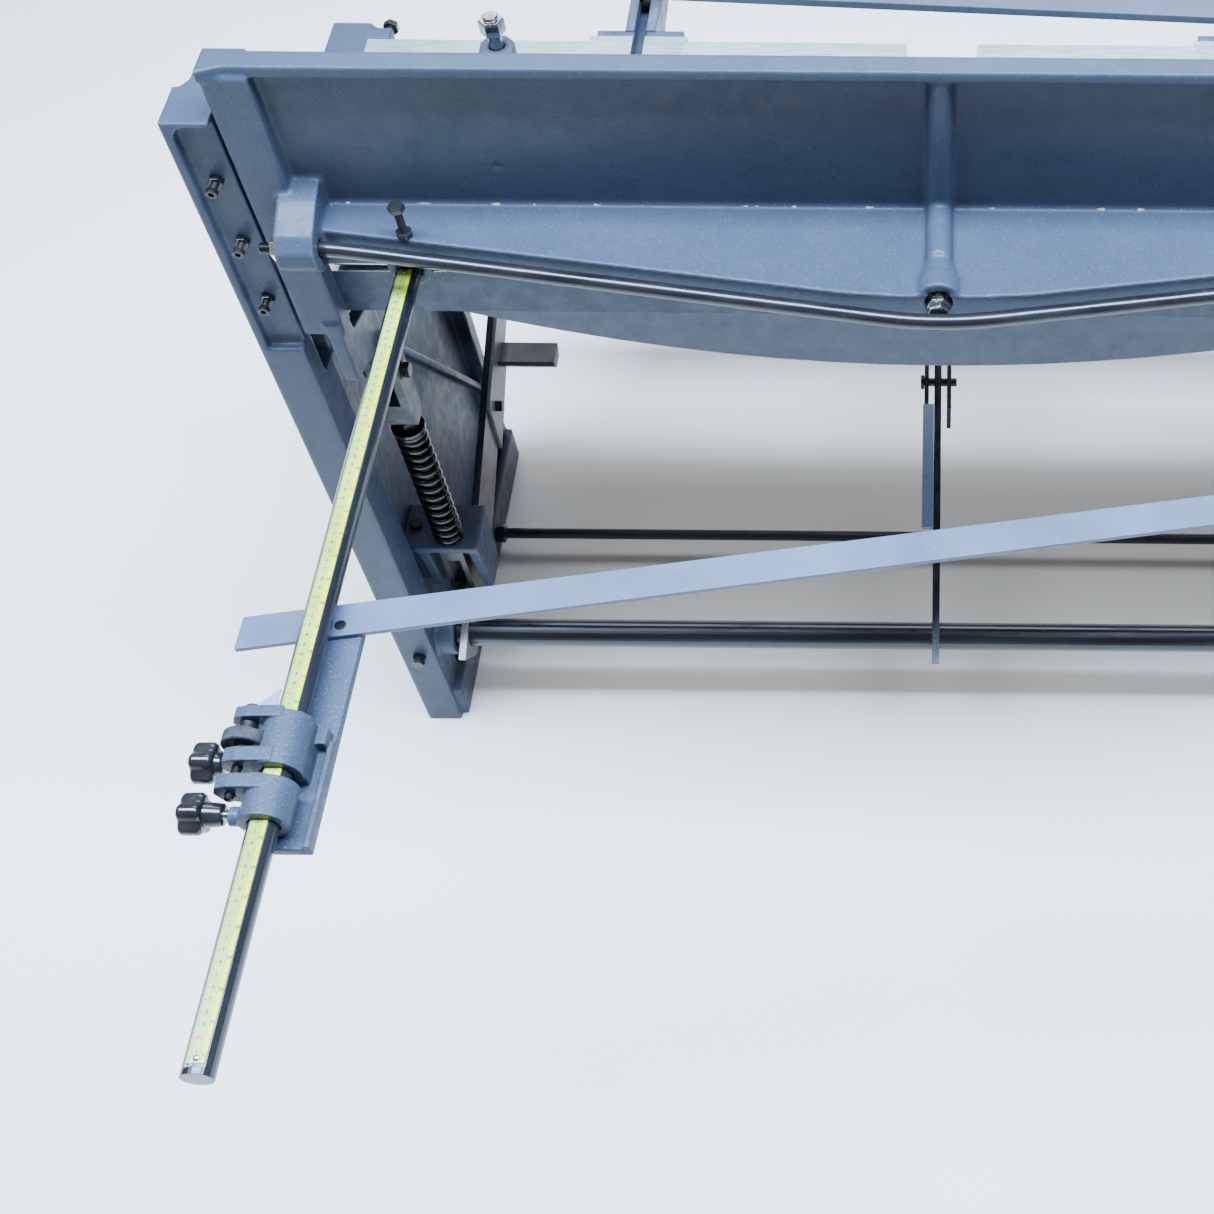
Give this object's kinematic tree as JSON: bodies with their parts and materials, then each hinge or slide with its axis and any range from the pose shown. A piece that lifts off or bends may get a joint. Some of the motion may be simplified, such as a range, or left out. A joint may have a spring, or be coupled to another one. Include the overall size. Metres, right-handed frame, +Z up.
{
  "type": "foot-operated sheet metal shear",
  "caption": "Treadle-driven squaring shear for sheet metal: cast side frames, slotted table, trussed crosshead with raked blade, hold-down, return springs and adjustable front and back gauges.",
  "frame": {"origin": "on the floor, at the middle of the bounding box", "axes": "+Z up; +Y towards the rear, where the back gauge's rods reach out; the operator stands at -Y; +X towards the frame that is on the left hand when seen from behind"},
  "size_m": [1.462, 1.655, 1.133],
  "materials": {
    "gray_paint": "cast, semi-gloss blue-gray paint",
    "ground_steel": "ground table face",
    "blade_steel": "ground",
    "black_rod": "glossy black",
    "black_oxide": "black oxide, satin",
    "plated_steel": "zinc plated",
    "scale_yellow": "printed steel-rule tape, satin",
    "knob_black": "glossy moulded plastic",
    "bar_paint": "smooth light blue-gray paint"
  },
  "bodies": {
    "frame": {"stand_right": "gray_paint", "stand_left": "gray_paint", "spring_seat_right": "gray_paint", "spring_seat_left": "gray_paint", "bed": "ground_steel", "lower_blade": "blade_steel", "gib_right": "blade_steel", "gib_left": "blade_steel", "tie_rod": "black_rod", "support_arm_right": "gray_paint", "support_arm_left": "gray_paint", "bed_jack_screw_right": "black_oxide", "bed_jack_screw_left": "black_oxide", "return_spring_right": "black_rod", "return_spring_left": "black_rod"},
    "treadle": {"treadle_shaft": "black_rod", "treadle_arm_right": "black_rod", "treadle_arm_left": "black_rod", "treadle_pull_pin_right": "black_oxide", "treadle_pull_pin_left": "black_oxide", "treadle_arm_middle": "black_rod", "middle_arm_strip": "bar_paint", "treadle_link_middle": "black_rod", "treadle_clevis_pin": "black_oxide", "treadle_bracket_right": "bar_paint", "treadle_bracket_left": "bar_paint", "treadle_board": "black_rod"},
    "beam": {"crosshead": "gray_paint", "upper_blade": "blade_steel", "truss_rod": "black_rod", "truss_jack_screw": "plated_steel", "gauge_rod_right": "black_rod", "gauge_rod_left": "black_rod", "gauge_scale_right": "scale_yellow", "gauge_scale_left": "scale_yellow", "rod_clamp_bolt_right": "black_oxide", "rod_clamp_bolt_left": "black_oxide", "pull_clevis_right": "bar_paint", "pull_clevis_left": "bar_paint", "pull_rod_right": "black_oxide", "pull_rod_left": "black_oxide"},
    "hold_down_bar": {"hold_down": "gray_paint", "hold_down_rod_right": "plated_steel", "hold_down_rod_left": "plated_steel"},
    "front_gauge": {"front_gauge_bar": "bar_paint"},
    "front_knob_right": {"front_gauge_knob_right": "knob_black"},
    "front_knob_left": {"front_gauge_knob_left": "knob_black"},
    "collar_right": {"gauge_collar_right": "gray_paint"},
    "collar_left": {"gauge_collar_left": "gray_paint"},
    "slide_right": {"gauge_slide_right": "gray_paint", "gauge_pointer_right": "bar_paint", "back_gauge_bar": "bar_paint"},
    "slide_left": {"gauge_slide_left": "gray_paint", "gauge_pointer_left": "bar_paint"},
    "fine_screw_right": {"fine_adjust_screw_right": "plated_steel"},
    "fine_screw_left": {"fine_adjust_screw_left": "plated_steel"},
    "slide_knob_right": {"slide_lock_knob_right": "knob_black"},
    "slide_knob_left": {"slide_lock_knob_left": "knob_black"},
    "collar_knob_right": {"collar_lock_knob_right": "knob_black"},
    "collar_knob_left": {"collar_lock_knob_left": "knob_black"}
  },
  "joints": [
    {"name": "treadle_hinge", "type": "hinge", "parent": "frame", "child": "treadle", "pos_m": [0, -0.0575, 0.163], "axis": [1, 0, 0], "range_deg": [0, 30]},
    {"name": "crosshead_slide", "type": "slide", "parent": "frame", "child": "beam", "axis": [0, 0, -1], "range_m": [0, 0.0262], "stiffness_N_per_m": 16000, "springref_m": -0.175, "deforming": ["return_spring_right", "return_spring_left"]},
    {"name": "hold_down_slide", "type": "slide", "parent": "frame", "child": "hold_down_bar", "axis": [0, 0, -1], "range_m": [0, 0.0062]},
    {"name": "front_gauge_slide", "type": "slide", "parent": "frame", "child": "front_gauge", "axis": [0, -1, 0], "range_m": [-0.3, 0.22]},
    {"name": "front_knob_right_turn", "type": "hinge", "parent": "front_gauge", "child": "front_knob_right", "pos_m": [0.361, -0.5617, 0.86], "axis": [0, 0, 1], "range_deg": [0, 360]},
    {"name": "front_knob_left_turn", "type": "hinge", "parent": "front_gauge", "child": "front_knob_left", "pos_m": [-0.361, -0.5207, 0.86], "axis": [0, 0, 1], "range_deg": [0, 360]},
    {"name": "collar_slide_right", "type": "slide", "parent": "beam", "child": "collar_right", "axis": [0, 1, 0], "range_m": [-0.19, 0.19]},
    {"name": "collar_slide_left", "type": "slide", "parent": "beam", "child": "collar_left", "axis": [0, 1, 0], "range_m": [-0.19, 0.19]},
    {"name": "fine_slide_right", "type": "slide", "parent": "collar_right", "child": "slide_right", "axis": [0, 1, 0], "range_m": [-0.0037, 0.0018]},
    {"name": "fine_slide_left", "type": "slide", "parent": "collar_left", "child": "slide_left", "axis": [0, 1, 0], "range_m": [-0.0037, 0.0018]},
    {"name": "fine_screw_right_turn", "type": "hinge", "parent": "slide_right", "child": "fine_screw_right", "pos_m": [0.5705, 0.544, 0.89], "axis": [0, 1, 0], "range_deg": [-900, 450]},
    {"name": "fine_screw_left_turn", "type": "hinge", "parent": "slide_left", "child": "fine_screw_left", "pos_m": [-0.5705, 0.3604, 0.89], "axis": [0, 1, 0], "range_deg": [-900, 450]},
    {"name": "slide_knob_right_turn", "type": "hinge", "parent": "slide_right", "child": "slide_knob_right", "pos_m": [0.59, 0.5635, 0.882], "axis": [1, 0, 0], "range_deg": [0, 540]},
    {"name": "collar_knob_right_turn", "type": "hinge", "parent": "collar_right", "child": "collar_knob_right", "pos_m": [0.59, 0.6105, 0.882], "axis": [1, 0, 0], "range_deg": [0, 540]},
    {"name": "slide_knob_left_turn", "type": "hinge", "parent": "slide_left", "child": "slide_knob_left", "pos_m": [-0.59, 0.3799, 0.882], "axis": [1, 0, 0], "range_deg": [0, 540]},
    {"name": "collar_knob_left_turn", "type": "hinge", "parent": "collar_left", "child": "collar_knob_left", "pos_m": [-0.59, 0.4269, 0.882], "axis": [1, 0, 0], "range_deg": [0, 540]}
  ],
  "couplings": [
    {"joint": "crosshead_slide", "follows": "treadle_hinge", "m_per_rad": 0.0495},
    {"joint": "hold_down_slide", "follows": "treadle_hinge", "m_per_rad": 0.0116},
    {"joint": "collar_slide_left", "follows": "collar_slide_right", "ratio": 1},
    {"joint": "fine_slide_left", "follows": "fine_slide_right", "ratio": 1},
    {"joint": "fine_screw_right_turn", "follows": "fine_slide_right", "rad_per_m": 4188.8},
    {"joint": "fine_screw_left_turn", "follows": "fine_slide_right", "rad_per_m": 4188.8}
  ]
}
